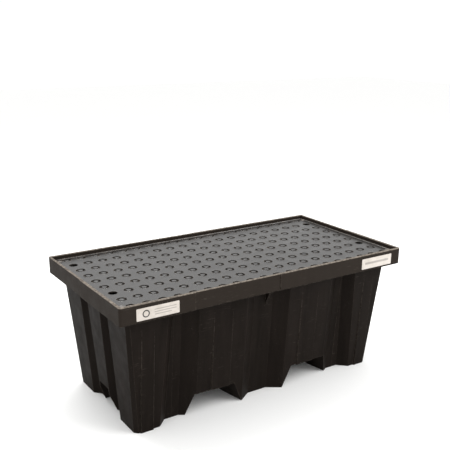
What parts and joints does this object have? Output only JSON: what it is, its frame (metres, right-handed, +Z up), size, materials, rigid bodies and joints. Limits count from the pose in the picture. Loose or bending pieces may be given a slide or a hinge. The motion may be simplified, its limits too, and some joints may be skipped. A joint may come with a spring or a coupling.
{
  "type": "spill containment pallet",
  "caption": "Moulded sump tub on feet with fork tunnels, an overhanging lip and a lift-out perforated deck for two drums.",
  "frame": {"origin": "on the ground under the centre of the pallet", "axes": "+X along the long side, +Y from the labelled front towards the back, +Z up"},
  "size_m": [1.26, 0.645, 0.52],
  "materials": {
    "tub_plastic": "moulded black polyethylene, satin",
    "deck_plastic": "moulded black polyethylene, polished by use",
    "label_stock": "blank self-adhesive vinyl",
    "column_plastic": "moulded polyethylene"
  },
  "bodies": {
    "tub": {"sump_tub": "tub_plastic", "label_left": "label_stock", "label_right": "label_stock", "support_column_1": "column_plastic", "support_column_2": "column_plastic", "support_column_3": "column_plastic", "support_column_4": "column_plastic"},
    "deck": {"deck": "deck_plastic"}
  },
  "joints": [
    {"name": "deck_lift", "type": "slide", "parent": "tub", "child": "deck", "axis": [0, 0, 1], "range_m": [0, 0.06]}
  ]
}
